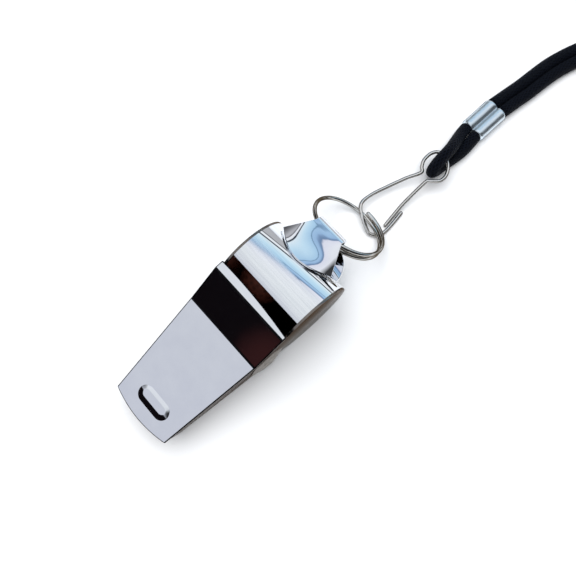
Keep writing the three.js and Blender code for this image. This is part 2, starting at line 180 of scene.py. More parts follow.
class Surface(Graph):
    """The node tree of one new material."""

    def __init__(self, name):
        self.material = bpy.data.materials.new(name)
        self.material.use_nodes = True
        super().__init__(self.material.node_tree)
        self.shader = self.tree.nodes["Principled BSDF"]
        self.place = self.add("ShaderNodeTexCoord").outputs["Object"]

    def set(self, socket, value):
        self.shader.inputs[socket].default_value = value

    def noise(self, scale, detail, stretch=(1, 1, 1), roughness=0.5):
        mapping = self.add("ShaderNodeMapping")
        mapping.inputs["Scale"].default_value = stretch
        self.link(self.place, mapping.inputs["Vector"])
        node = self.add("ShaderNodeTexNoise")
        node.inputs["Scale"].default_value = scale
        node.inputs["Detail"].default_value = detail
        node.inputs["Roughness"].default_value = roughness
        self.link(mapping.outputs["Vector"], node.inputs["Vector"])
        return node.outputs["Fac"]

    def bump(self, height, distance, strength):
        node = self.add("ShaderNodeBump")
        node.inputs["Strength"].default_value = strength
        node.inputs["Distance"].default_value = distance
        self.link(height, node.inputs["Height"])
        self.link(node.outputs["Normal"], self.shader.inputs["Normal"])

    def colour(self, output):
        self.link(output, self.shader.inputs["Base Color"])

    def two_tone(self, value, first, second, low=0.3, high=0.7):
        """A colour that goes from the first to the second as the value goes from low to high."""
        return self.ramp(value, [(low, first), (high, second)])

    def darkened(self, output, where, dark):
        """Base colour, going over to a dark colour where the second value is one."""
        mixed = self.mix(where, output)
        mixed.inputs["B"].default_value = (*dark, 1)
        self.colour(mixed.outputs["Result"])

    def roughness(self, value, low, high):
        self.link(self.ranged(value, 0, 1, low, high), self.shader.inputs["Roughness"])

    def from_axis(self, x, z):
        """Distance from the barrel's axis."""
        x = self.math("SUBTRACT", x, BARREL_X)
        z = self.math("SUBTRACT", z, BARREL_Z)
        squares = self.math("ADD", self.math("MULTIPLY", x, x), self.math("MULTIPLY", z, z))
        return self.math("SQRT", squares)


# ---------------------------------------------------------------- materials
DULL_EDGE = (0.3, 0.26, 0.23, 1)  # tint at a grazing angle
BRIGHT_EDGE = (1, 1, 1, 1)
WIRE_EDGE = (0.4, 0.36, 0.32, 1)
RIPPLE_HEIGHT = 0.012 * MM  # slow ripple in every pressed sheet
BRUSHED_HEIGHT = 0.008 * MM
INNER_FACE = 9.1 * MM  # the cheeks' inner faces lie nearer the middle than this
# painted dark red shade and painted reflection of the pea, for the cheeks' inner faces
CHAMBER_PAINTED_RED = (0.16, 0.05, 0.035)
# painted shade for the barrel's inner face
CHAMBER_PAINTED_SHADE = (0.035, 0.022, 0.020)
WEAVE_ALONG = 5.2  # radians of the stitch pattern for each millimetre of cord
WEAVE_ROUND = 75.4  # radians once round the cord, which is 12 stitches


def bare_metal(name, edge=BRIGHT_EDGE):
    n = Surface(name)
    n.set("Metallic", 1)
    n.set("Specular Tint", edge)
    return n


def polished_metal(name, light, dark, rough=(0.03, 0.09), edge=BRIGHT_EDGE):
    """Plated sheet: slow colour change and fine polishing marks."""
    n = bare_metal(name, edge)
    n.colour(n.two_tone(n.noise(260, 3), dark, light))
    n.roughness(n.noise(900, 5, stretch=(1, 6, 1)), *rough)
    n.bump(n.noise(240, 2), RIPPLE_HEIGHT, 0.5)
    return n.material


def barrel_metal():
    """The barrel's sheet: fine lines along its axis on the front and top, mirror-bright behind, with
    painted shade on its inner face.
    """
    n = bare_metal("barrel_steel")
    x, _, z = n.split(n.place)
    middle = BARREL_X + BRUSHED_TO
    bright = n.ranged(x, middle - 0.1 * MM, middle + 0.1 * MM)
    dull = n.math("SUBTRACT", 1, bright)
    lines = n.noise(2600, 6, stretch=(1, 0.03, 1), roughness=0.7)
    outside = n.two_tone(lines, (0.76, 0.79, 0.83), (0.94, 0.96, 0.98))
    # painted shade: the barrel's inner face is painted near-black and rough
    inside = n.math("LESS_THAN", n.from_axis(x, z), BARREL_RADIUS - 0.3 * MM)
    n.darkened(outside, inside, CHAMBER_PAINTED_SHADE)
    rough = n.math("ADD", n.math("MULTIPLY", lines, 0.16), 0.1)
    rough = n.math("ADD", n.math("MULTIPLY", rough, dull), 0.015)
    rough = n.math("MAXIMUM", rough, n.math("MULTIPLY", inside, 0.4))
    n.link(rough, n.shader.inputs["Roughness"])
    n.bump(n.math("MULTIPLY", lines, dull), BRUSHED_HEIGHT, 0.7)
    return n.material


def cheek_metal():
    """The end discs: polished outside, in a dark colour that is painted shade; on the face towards the
    pea, painted dark red shade with a painted reflection of the pea.
    """
    n = bare_metal("cheek_steel", DULL_EDGE)
    x, y, z = n.split(n.place)
    # painted shade and painted reflection of the pea: inside the chamber the inner face turns dark red
    # and loses its metal
    inner_face = n.math("LESS_THAN", n.math("ABSOLUTE", y), INNER_FACE)
    in_chamber = n.math("LESS_THAN", n.from_axis(x, z), BARREL_RADIUS - 0.6 * MM)
    inside = n.math("MULTIPLY", inner_face, in_chamber)
    # painted shade: the outside is a dark copy of the polished steel, for the shaded table it reflects
    outside = n.two_tone(n.noise(260, 3), (0.17, 0.15, 0.135), (0.23, 0.205, 0.185))
    n.darkened(outside, inside, CHAMBER_PAINTED_RED)
    n.link(n.math("SUBTRACT", 1, inside), n.shader.inputs["Metallic"])
    n.roughness(n.noise(1100, 5, stretch=(5, 1, 1)), 0.1, 0.24)
    n.bump(n.noise(240, 2), RIPPLE_HEIGHT, 0.5)
    return n.material


def solder_metal():
    n = bare_metal("solder")
    grain = n.noise(1500, 6)
    n.colour(n.two_tone(grain, (0.13, 0.115, 0.10), (0.30, 0.275, 0.25)))
    n.roughness(grain, 0.3, 0.55)
    n.bump(grain, 0.08 * MM, 0.8)
    return n.material


def wire_metal(name, light, dark, rough=(0.05, 0.14), edge=0.55):
    """Painted reflection on a wire: bright along its middle and painted dark towards its edges, with slow
    patches that move the painted dark edges about.
    """
    n = bare_metal(name, WIRE_EDGE)
    patches = n.math("SUBTRACT", n.noise(320, 4), 0.5)
    # painted reflection: the colour goes dark as the surface turns away from the camera
    facing = n.add("ShaderNodeLayerWeight").outputs["Facing"]
    turned = n.math("ADD", facing, n.math("MULTIPLY", patches, 0.5))
    n.colour(n.two_tone(turned, light, dark, edge - 0.3, edge))
    n.roughness(n.noise(1800, 3), *rough)
    n.bump(n.noise(1200, 4), 0.01 * MM, 0.5)
    return n.material


def cork_wood():
    n = Surface("cork")
    cells = n.add("ShaderNodeTexVoronoi")
    cells.inputs["Scale"].default_value = 900
    n.link(n.place, cells.inputs["Vector"])
    grain = cells.outputs["Distance"]
    # painted shade: the cork is painted a very dark red-brown, far darker than tan cork, for the pea
    # lying in the dark chamber
    n.colour(n.two_tone(grain, (0.035, 0.009, 0.006), (0.10, 0.028, 0.018), low=0.1))
    n.roughness(grain, 0.55, 0.8)
    n.bump(grain, 0.12 * MM, 0.6)
    return n.material


def cord_weave():
    """Woven cord. UV x is millimetres along the cord, and UV y goes once round it."""
    n = Surface("cord_weave")
    uv = n.add("ShaderNodeTexCoord").outputs["UV"]
    along, around, _ = n.split(uv)
    u = n.math("MULTIPLY", along, WEAVE_ALONG)
    v = n.math("MULTIPLY", around, WEAVE_ROUND)
    left = n.math("SINE", n.math("ADD", u, v))
    right = n.math("SINE", n.math("SUBTRACT", u, v))
    fuzz = n.noise(4200, 3)
    height = n.math("ADD", n.math("MAXIMUM", left, right), fuzz)
    shade = n.math("MULTIPLY", height, 0.45)
    n.colour(n.two_tone(shade, (0.0008, 0.0010, 0.0022), (0.0040, 0.0056, 0.0110), 0.2, 0.8))
    n.roughness(fuzz, 0.6, 0.85)
    n.set("Specular IOR Level", 0.12)
    n.set("Sheen Weight", 0.02)
    n.set("Sheen Roughness", 0.4)
    n.set("Sheen Tint", (0.5, 0.62, 0.85, 1))
    n.bump(height, 0.09 * MM, 0.9)
    return n.material


def tie_plastic():
    n = Surface("tie")
    grain = n.noise(1400, 4)
    n.colour(n.two_tone(grain, (0.010, 0.010, 0.012), (0.022, 0.022, 0.026)))
    n.roughness(grain, 0.45, 0.65)
    n.bump(grain, 0.03 * MM, 0.5)
    return n.material


# ---------------------------------------------------------------- mesh helpers
SHARP_ABOVE = math.radians(28)  # edges bent more than this stay sharp
WIRE_END = [(0.0, 0.25), (0.3, 0.72), (0.65, 0.94)]  # how far along and how wide, per radius


def piece(name, verts, faces, material, body, *replaced, smooth=True, uvs=None):
    mesh = bpy.data.meshes.new(name)
    mesh.from_pydata([tuple(v) for v in verts], [], faces)
    mesh.update()
    if uvs:
        layer = mesh.uv_layers.new(name="UVMap")
        for loop in mesh.loops:
            layer.data[loop.index].uv = uvs[loop.vertex_index]
    for polygon in mesh.polygons:
        polygon.use_smooth = smooth
    holder = bpy.data.objects.new(name, mesh)
    bpy.context.collection.objects.link(holder)
    holder.data.materials.append(material)
    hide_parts(*replaced)
    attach(holder, body)
    return holder


def ring_faces(rings, around, turned=False):
    """Faces between neighbouring closed rings of points; turned ones face the other way."""
    faces = []
    for i in range(rings - 1):
        for k in range(around):
            a, b = i * around + k, i * around + (k + 1) % around
            if turned:
                a, b = b, a
            faces.append((a, b, b + around, a + around))
    return faces


def across_sheet(columns):
    """Places across a sheet, from 1 at its left edge to -1 at its right edge."""
    return [1 - 2 * k / (columns - 1) for k in range(columns)]


def round_edges(holder, width, angle, harden=True):
    """Round every edge that is bent more than the angle."""
    bevel = holder.modifiers.new("bevel", "BEVEL")
    bevel.width = width
    bevel.segments = 3
    bevel.limit_method = "ANGLE"
    bevel.angle_limit = math.radians(angle)
    bevel.harden_normals = harden


def thicken(holder, even):
    """Give a surface the sheet's thickness, under its upper face."""
    solid = holder.modifiers.new("thickness", "SOLIDIFY")
    solid.thickness = SHEET
    solid.offset = -1
    solid.use_even_offset = even


def rounded_cad(node, material, width):
    """A CAD node shown as it is, with its edges rounded and its curved faces smooth."""
    holder = frame["nodes"][node]
    holder.data.materials.clear()
    holder.data.materials.append(material)
    weld = holder.modifiers.new("weld", "WELD")
    weld.merge_threshold = 1e-6
    round_edges(holder, width, 30, harden=False)
    smooth = holder.modifiers.new("smooth", "NODES")
    smooth.node_group = smooth_group()


def sheet_metal(name, rows, material, body, replaced, bevel, bend):
    """A bent sheet: a grid of points, made thick; edges and bends above the given degrees are rounded."""
    across = len(rows[0])
    verts = [point for row in rows for point in row]
    faces = []
    for i in range(len(rows) - 1):
        for k in range(across - 1):
            a = i * across + k
            faces.append((a, a + 1, a + across + 1, a + across))
    holder = piece(name, verts, faces, material, body, replaced)
    thicken(holder, even=True)
    round_edges(holder, bevel, bend)
    return holder


def smooth_group():
    """The node group that shades faces smooth but keeps the sharper edges."""
    name = "smooth_by_angle"
    if name in bpy.data.node_groups:
        return bpy.data.node_groups[name]
    group = bpy.data.node_groups.new(name, "GeometryNodeTree")
    for way in ("INPUT", "OUTPUT"):
        group.interface.new_socket("Geometry", in_out=way, socket_type="NodeSocketGeometry")
    g = Graph(group)
    source = g.add("NodeGroupInput")
    result = g.add("NodeGroupOutput")
    faces = g.add("GeometryNodeSetShadeSmooth", domain="FACE")
    edges = g.add("GeometryNodeSetShadeSmooth", domain="EDGE")
    edges.inputs["Shade Smooth"].default_value = False
    angle = g.add("GeometryNodeInputMeshEdgeAngle")
    above = g.add("FunctionNodeCompare", operation="GREATER_THAN")
    above.inputs["B"].default_value = SHARP_ABOVE
    g.link(source.outputs["Geometry"], faces.inputs["Geometry"])
    g.link(faces.outputs["Geometry"], edges.inputs["Geometry"])
    g.link(angle.outputs["Unsigned Angle"], above.inputs["A"])
    g.link(above.outputs["Result"], edges.inputs["Selection"])
    g.link(edges.outputs["Geometry"], result.inputs["Geometry"])
    return group


def smooth_line(points, per_span):
    """Points on a Catmull-Rom curve through the given points."""
    ends = [points[0] * 2 - points[1], *points, points[-1] * 2 - points[-2]]
    line = []
    for i in range(1, len(ends) - 2):
        p0, p1, p2, p3 = ends[i - 1 : i + 3]
        for step in range(per_span):
            t = step / per_span
            slope = (p2 - p0) * t
            bend = (2 * p0 - 5 * p1 + 4 * p2 - p3) * t * t
            twist = (3 * p1 - p0 - 3 * p2 + p3) * t**3
            line.append(0.5 * (2 * p1 + slope + bend + twist))
    line.append(points[-1])
    return line


def tube(name, line, radius, sides, material, body, *replaced, round_ends=True):
    """A round wire or cord along a line, with a UV that runs along it in millimetres."""
    radii = [radius] * len(line)
    if round_ends:
        first = (line[1] - line[0]).normalized()
        last = (line[-1] - line[-2]).normalized()
        start = [line[0] - first * radius * (1 - along) for along, _ in WIRE_END]
        finish = [line[-1] + last * radius * (1 - along) for along, _ in reversed(WIRE_END)]
        line = [*start, *line, *finish]
        widening = [radius * wide for _, wide in WIRE_END]
        radii = widening + radii + widening[::-1]
    tangent = (line[1] - line[0]).normalized()
    side = tangent.orthogonal().normalized()
    verts, uvs = [], []
    travelled = 0.0
    for i, centre in enumerate(line):
        ahead = line[min(i + 1, len(line) - 1)] - line[max(i - 1, 0)]
        tangent = ahead.normalized()
        side = (side - tangent * side.dot(tangent)).normalized()
        other = tangent.cross(side)
        travelled += (centre - line[max(i - 1, 0)]).length
        for k in range(sides):
            angle = 2 * math.pi * k / sides
            verts.append(centre + (side * math.cos(angle) + other * math.sin(angle)) * radii[i])
            uvs.append((travelled / MM, k / sides))
    faces = ring_faces(len(line), sides)
    faces.append(tuple(reversed(range(sides))))
    faces.append(tuple(range(len(verts) - sides, len(verts))))
    return piece(name, verts, faces, material, body, *replaced, uvs=uvs)


# ---------------------------------------------------------------- mouthpiece, in its own frame
TIP = (-37.2, 9.35)
CREASE = (-12.6, 8.66)
HOOD = (-4.34, 10.55)
TIP_HALF = 7.65
CREASE_HALF = 9.47
HOOD_HALF = 9.62
TIP_BOW = 1.2  # how far the middle of the tip stands in front of its corners
PLATE_SLOPE = (CREASE[1] - TIP[1]) / (CREASE[0] - TIP[0])
LIP_LEFT, LIP_RIGHT = -5.3, -6.3  # where the lip's rear edge ends, along the table
LIP_BULGE = 0.4
LIP_HEIGHT = 18.08  # above the table
BASE_FRONT = (-37.2, 1.753)  # underside of the lower plate, at its two ends
BASE_REAR = (-8.9, -2.0)
WALL_DROP = 0.52  # the walls' tops lie this far under the plate's upper face
WALL_SETBACK = 0.3  # the walls begin this far behind the tip
WALL_TIP_INSET = 0.15  # and stand this far inside the plate's edges
WALL_CREASE_INSET = 0.12
WALL_HOOD_INSET = 0.14
WALL_REAR_RADIUS = 9.35  # the walls' rear edges follow the barrel
WALL_REAR_TOP = 321  # degrees from the barrel's top
WALL_REAR_SPAN = 78  # degrees from there down to the lower plate
RIDGE_MIDDLE = (-33.25, -0.2)
RIDGE_STRAIGHT = 2.25  # half the straight part between its round ends
RIDGE_RINGS = [  # distance from the straight part, and height above the plate
    (2.04, -0.04),
    (1.96, 0.0),
    (1.08, 0.32),
    (0.9, 0.37),
    (0.8, 0.375),
]
RIDGE_LEAN = 0.9  # the ridge's top is moved towards the barrel by this part of its height
SOLDER_REACH = (4.3, 4.6)  # along the table and up from the middle of the bead
SOLDER_FOOT = 9.25  # from the middle plane to the foot of the solder
SOLDER_BELLY = 0.95  # how far the solder stands out
SOLDER_LEAN = 0.5  # how far it leans back, for each millimetre of height


def along_line(start, end, share):
    return tuple(a + (b - a) * share for a, b in zip(start, end))


def make_top_sheet(material, edge):
    """The mouthpiece's upper plate, its steep hood and the narrow lip in front of the window."""
    sides = across_sheet(21)
    plate_rows = 8
    rows = []
    for i in range(plate_rows + 1):
        share = i / plate_rows
        x, z = along_line(TIP, CREASE, share)
        half = TIP_HALF + (CREASE_HALF - TIP_HALF) * share
        row = []
        for side in sides:
            bow = TIP_BOW * (1 - side * side) * (1 - share) ** 3
            row.append(standing(x - bow, side * half, z - bow * PLATE_SLOPE))
        rows.append(row)
    for share in (0.5, 1):
        x, z = along_line(CREASE, HOOD, share)
        half = CREASE_HALF + (HOOD_HALF - CREASE_HALF) * share
        rows.append([standing(x, side * half, z) for side in sides])
    lip = []
    for side in sides:
        straight = (LIP_LEFT + LIP_RIGHT) / 2 + side * (LIP_LEFT - LIP_RIGHT) / 2
        x = straight + LIP_BULGE * (1 - side * side)
        lip.append(at(x, side * HOOD_HALF, LIP_HEIGHT))
    rows.append(lip)
    top = sheet_metal("mouthpiece_top", rows, material, "whistle", "mouthpiece_shell", 0.24 * MM, 8)
    # painted shade: the rounded edges and bends get the near-black second material
    top.data.materials.append(edge)
    top.modifiers["bevel"].material = 1


def base_top(x):
    """Height of the lower plate's inner face."""
    run = BASE_REAR[0] - BASE_FRONT[0]
    rise = (x - BASE_FRONT[0]) * (BASE_REAR[1] - BASE_FRONT[1]) / run
    return BASE_FRONT[1] + SHEET_MM + rise


def make_side_wall(material, side):
    """One wall between the upper and the lower plate; its rear edge follows the barrel."""
    tip_half = TIP_HALF - WALL_TIP_INSET
    crease_half = CREASE_HALF - WALL_CREASE_INSET
    hood_half = HOOD_HALF - WALL_HOOD_INSET
    front_x = TIP[0] + WALL_SETBACK
    corners = [
        (front_x, base_top(TIP[0])),
        (front_x, TIP[1] - WALL_DROP),
        (CREASE[0], CREASE[1] - WALL_DROP),
        (CREASE[0], base_top(CREASE[0])),
    ]
    verts = []
    for x, z in corners:
        share = (x - TIP[0]) / (CREASE[0] - TIP[0])
        half = tip_half + (crease_half - tip_half) * share
        verts.append(standing(x, side * half, z))
    verts.append(standing(HOOD[0], side * hood_half, HOOD[1] - WALL_DROP))
    steps = 18
    for i in range(steps + 1):
        degrees = WALL_REAR_TOP - WALL_REAR_SPAN * i / steps
        verts.append(round_barrel(WALL_REAR_RADIUS, degrees, side * hood_half))
    faces = [(0, 1, 2, 3), (3, 2, 4, *range(5, 5 + steps + 1))]
    if side < 0:
        faces = [tuple(reversed(face)) for face in faces]
    name = "left_wall" if side > 0 else "right_wall"
    wall = piece(name, verts, faces, material, "whistle", "mouthpiece_shell", smooth=False)
    thicken(wall, even=False)


def make_tooth_ridge(material):
    """The oval ridge for the teeth, a low mound with sloping sides, pressed up from the plate."""
    around = 48
    middle_x, middle_y = RIDGE_MIDDLE
    verts = []
    for radius, height in RIDGE_RINGS:
        for k in range(around):
            angle = 2 * math.pi * k / around
            end_y = math.copysign(RIDGE_STRAIGHT, math.sin(angle + 1e-9))
            x = middle_x + radius * math.cos(angle) + RIDGE_LEAN * height
            y = middle_y + radius * math.sin(angle) + end_y
            z = TIP[1] + (x - TIP[0]) * PLATE_SLOPE + height
            verts.append(standing(x, y, z))
    faces = ring_faces(len(RIDGE_RINGS), around, turned=True)
    faces.append(tuple(reversed(range(len(verts) - around, len(verts)))))
    ridge = piece("tooth_ridge", verts, faces, material, "whistle", "mouthpiece_shell")
    soft = ridge.modifiers.new("soft", "SUBSURF")
    soft.levels = 1
    soft.render_levels = 1


def make_solder(material, side):
    """The belly of solder in the corner between the wall and the cheek."""
    name = "left_solder" if side > 0 else "right_solder"
    node = name + "_bead"
    low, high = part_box(node)
    centre_x = (low[0] + high[0]) / 2
    centre_z = (low[2] + high[2]) / 2
    reach_x, reach_z = SOLDER_REACH
    rings, around = 14, 48
    verts = []
    for i in range(rings):
        out = 1 - 0.96 * i / (rings - 1)
        for k in range(around):
            angle = 2 * math.pi * k / around
            reach = out * (1 + 0.05 * math.sin(3 * angle) + 0.04 * math.sin(5 * angle + 1))
            x = reach_x * reach * math.cos(angle)
            z = reach_z * reach * math.sin(angle)
            ripple = 0.03 * math.sin(2.3 * x + 1.1 * z) + 0.025 * math.sin(3.7 * z - 1.9 * x)
            y = SOLDER_FOOT + (SOLDER_BELLY + ripple) * (1 - out * out) ** 1.5
            leaned = x + SOLDER_LEAN * z
            verts.append(Vector((centre_x + leaned * MM, side * y * MM, centre_z + z * MM)))
    faces = ring_faces(rings, around, turned=True)
    faces.append(tuple(range(around)))
    faces.append(tuple(reversed(range(len(verts) - around, len(verts)))))
    if side < 0:
        faces = [tuple(reversed(face)) for face in faces]
    bead = piece(name, verts, faces, material, "whistle", node)


# ---------------------------------------------------------------- hanger strap
STRAP_RADIUS = 9.78  # the strap's outer face where it lies on the barrel
FOOT_MIDDLE, FOOT_HALF = 0.55, 6.95
FOOT_DEGREES = 33.5  # the foot's front edge at its middle, from the barrel's top
FOOT_CURVE = 23  # its corners lie this many degrees further back
LEG_HOLLOW = 0.32  # the upper leg sags by this in its middle
FOLD_RADIUS = 1.85
FOLD_MIDDLE, FOLD_HALF = 0.65, 3.55
FOLD_TOP, FOLD_BOTTOM = 80, -72  # degrees up from straight back
LOWER_MIDDLE, LOWER_HALF = 0.5, 7.5
LOWER_END = (9.9, 7.4)
LOWER_WIDENING = ((0.12, 4.3), (0.26, 5.6), (0.4, 6.3), (0.6, 6.9), (0.8, 7.3), (1.0, 7.5))
LOWER_FOOT_DEGREES = (106, 112, 118)


def fold_line(degrees):
    """Where the fold's outer face is, in millimetres along the table and above it."""
    angle = math.radians(degrees)
    x = (FOLD.x - BARREL_X) / MM + FOLD_RADIUS * math.cos(angle)
    z = FOLD.z / MM + FOLD_RADIUS * math.sin(angle)
    return x, z


def make_strap(material):
    """One folded strip: a leg up from its curved foot, round the ring, and back to the barrel."""
    sides = across_sheet(25)
    rows = []
    leg_rows = 12
    fold_x, fold_z = fold_line(FOLD_TOP)
    for i in range(leg_rows + 1):
        share = i / leg_rows
        row = []
        for side in sides:
            angle = math.radians(FOOT_DEGREES + FOOT_CURVE * side * side)
            foot_x = STRAP_RADIUS * math.sin(angle)
            foot_z = BARREL_MM + STRAP_RADIUS * math.cos(angle)
            foot = Vector((foot_x, FOOT_MIDDLE + FOOT_HALF * side, foot_z))
            fold = Vector((fold_x, FOLD_MIDDLE + FOLD_HALF * side, fold_z))
            point = foot.lerp(fold, share)
            hollow = LEG_HOLLOW * math.sin(math.pi * share) ** 2 * (1 - side * side)
            row.append(at(point.x, point.y, point.z - hollow))
        rows.append(row)
    fold_rows = 14
    for i in range(1, fold_rows + 1):
        x, z = fold_line(FOLD_TOP - (FOLD_TOP - FOLD_BOTTOM) * i / fold_rows)
        rows.append([at(x, FOLD_MIDDLE + FOLD_HALF * side, z) for side in sides])
    start = fold_line(FOLD_BOTTOM)
    for share, half in LOWER_WIDENING:
        x, z = along_line(start, LOWER_END, share)
        rows.append([at(x, LOWER_MIDDLE + half * side, z) for side in sides])
    for degrees in LOWER_FOOT_DEGREES:
        ys = [LOWER_MIDDLE + LOWER_HALF * side for side in sides]
        rows.append([round_barrel(STRAP_RADIUS, degrees, y) for y in ys])
    strap = sheet_metal("folded_strap", rows, material, "whistle", "hanger_strap", 0.1 * MM, 40)


# ---------------------------------------------------------------- ring and hook
def ring_line():
    arm_x = RING_ARM * math.cos(RING_LEAN)
    arm_z = RING_ARM * math.sin(RING_LEAN)
    centre = Vector((FOLD.x + arm_x, RING_SIDE, FOLD.z - arm_z))
    lean = Matrix.Rotation(RING_LEAN, 3, "Y")
    line = []
    steps = 150
    for i in range(steps + 1):
        t = i / steps
        angle = 2 * math.pi * RING_TURNS * t - math.pi
        rise = RING_PITCH * RING_TURNS * (t - 0.5)
        spot = Vector((RING_RADIUS * math.cos(angle), RING_RADIUS * math.sin(angle), rise))
        line.append(centre + lean @ spot)
    return line


HOOK_POINTS = [
    (31.8, -4.4, 0.45),
    (29.3, -4.8, 0.45),
    (26.7, -5.05, 0.45),
    (24.6, -4.75, 0.45),
    (23.4, -3.1, 0.8),
    (23.75, -1.4, 1.35),
    (24.5, 0.45, 2.05),
    (25.45, 2.1, 2.35),
    (27.0, 3.0, 2.25),
    (29.9, 2.8, 1.9),
    (34.0, 1.65, 1.8),
    (37.7, 0.3, 2.3),
    (40.6, -1.1, 2.95),
    (41.5, -0.3, 3.2),
    (43.0, 0.5, 3.3),
    (45.2, 0.5, 3.3),
    (46.6, -0.6, 3.3),
    (46.5, -2.8, 3.3),
    (45.2, -4.5, 3.3),
    (43.6, -5.4, 3.3),
    (42.1, -5.3, 3.2),
    (41.0, -4.3, 3.05),
    (40.45, -3.66, 2.9),
]
LATCH_POINTS = [
    (40.38, -3.57, 2.87),
    (39.9, -3.3, 2.75),
    (37.3, -3.25, 2.2),
    (33.1, -3.35, 1.4),
    (29.9, -3.7, 0.75),
    (27.3, -4.05, 0.5),
]


# ---------------------------------------------------------------- cord
CRIMP_Y = -1.65
BIGHT_POINTS = [
    (55.7, CRIMP_Y + 1.4, 1.65),
    (53.5, -0.6, 2.2),
    (51.0, -1.2, 3.25),
    (48.6, -1.8, 4.5),
    (46.3, -2.1, 5.15),
    (43.9, -2.3, 4.7),
    (42.4, -2.6, 3.3),
    (43.6, -2.7, 1.9),
    (46.3, -2.9, 1.4),
    (49.2, -3.3, 1.4),
    (52.0, -3.45, 1.45),
    (55.7, CRIMP_Y - 1.4, 1.65),
]
RIGHT_STRAND = [
    (64.0, -3.05, 1.6),
    (68, -3.45, 1.4),
    (72, -3.95, 1.36),
    (76, -4.25, 1.36),
    (80, -4.7, 1.36),
    (84, -5.6, 1.36),
    (88, -6.95, 1.36),
    (92, -8.4, 1.36),
    (96, -10.1, 1.4),
    (100, -12.0, 1.55),
    (103.5, -13.6, 1.8),
    (106.5, -14.5, 2.0),
]
LEFT_STRAND = [
    (64.0, -0.25, 1.6),
    (68, -0.7, 1.4),
    (72, -1.2, 1.36),
    (76, -1.5, 1.36),
    (80.3, -1.95, 1.36),
    (84.7, -2.95, 1.36),
    (88.9, -4.2, 1.36),
    (92.3, -4.2, 1.36),
    (95.2, -2.4, 1.45),
    (97.6, 0.6, 1.9),
    (99.8, 3.9, 2.8),
    (102.6, 6.7, 3.9),
    (105.8, 8.1, 4.6),
]
HANK_X = 109
HANK_Y = -3.2
HANK_RUN = 42
HANK_LANES = (11.5, 8.8, 6.1)
HANK_LIFT = 0.7  # the lowest strand lies this far above the table
LOW_LAYER = HANK_LIFT + CORD_MM / 2
HIGH_LAYER = LOW_LAYER + CORD_MM
HANK_STEPS = 14  # points on each run and on each fold


def hank_run(to_right, lane_from, lane_to, z_from, z_to):
    """A straight run along the hank, which may move over to another lane or layer on its way."""
    side = -1 if to_right else 1
    points = []
    for i in range(HANK_STEPS):
        t = i / HANK_STEPS
        ease = math.pi / 2 * t * t * (3 - 2 * t)
        shift = 1 - math.cos(ease)
        x = HANK_X + HANK_RUN * (t if to_right else 1 - t)
        y = HANK_Y + side * (lane_from + (lane_to - lane_from) * shift)
        points.append(at(x, y, z_from + (z_to - z_from) * math.sin(ease)))
    return points


def hank_fold(at_right, lane, z):
    """The half circle at one end of the hank."""
    middle_x = HANK_X + (HANK_RUN if at_right else 0)
    start = -90 if at_right else 90
    points = []
    for i in range(HANK_STEPS):
        angle = math.radians(start + 180 * i / HANK_STEPS)
        x = middle_x + lane * math.cos(angle)
        y = HANK_Y + lane * math.sin(angle)
        points.append(at(x, y, z))
    return points


def hank_points():
    """Inwards over the lower layer's lanes, then outwards over the upper layer's lanes."""
    wide, middle, narrow = HANK_LANES
    low, high = LOW_LAYER, HIGH_LAYER
    # each lap's layer, the next lap's layer, then the lane at its start, right end and left end
    laps = [
        (low, low, wide, wide, middle),
        (low, low, middle, middle, narrow),
        (low, high, narrow, narrow, narrow),
        (high, high, narrow, middle, middle),
        (high, high, middle, wide, wide),
    ]
    points = []
    for z, next_z, lane, right_lane, left_lane in laps:
        points += hank_run(True, lane, right_lane, z, z)
        points += hank_fold(True, right_lane, z)
        points += hank_run(False, right_lane, left_lane, z, next_z)
        points += hank_fold(False, left_lane, next_z)
    del points[1 - HANK_STEPS :]  # the last lap ends where its left fold would begin
    return points


def cord_line():
    hank = hank_points()
    there = smooth_line([*(at(*p) for p in RIGHT_STRAND), hank[0]], 4)
    back = smooth_line([*(at(*p) for p in LEFT_STRAND), hank[-1]], 4)
    return [*there[:-1], *hank, *reversed(back[:-1])]


def make_lanyard(weave):
    line = cord_line()
    replaced = ("cord_right_strand", "cord_left_strand", "cord_hank")
    cord = tube("neck_cord", line, CORD / 2, 14, weave, "lanyard", *replaced, round_ends=False)
    bight = smooth_line([at(*p) for p in BIGHT_POINTS], 6)
    name = "cord_bight_loop"
    loop = tube(name, bight, CORD / 2, 18, weave, "lanyard", "cord_bight", round_ends=False)


# ---------------------------------------------------------------- crimp
LOBE_RADIUS = 1.6
LOBE_MIDDLE = 1.35  # from the clip's middle to the middle of each lobe
LOBE_ARC = 1.6  # half turns of arc on each lobe; a groove is left between the two
LOBE_STEPS = 22
RIM_TUCK = 0.13  # the rims are pressed in by this share, over about RIM_LENGTH millimetres
RIM_LENGTH = 0.16
SHOULDER = 0.02  # and swell a little behind that
SHOULDER_FROM_RIM = 0.6
SHOULDER_SPREAD = 0.08  # square millimetres
WAIST = 0.03  # the middle is pressed flatter by this share


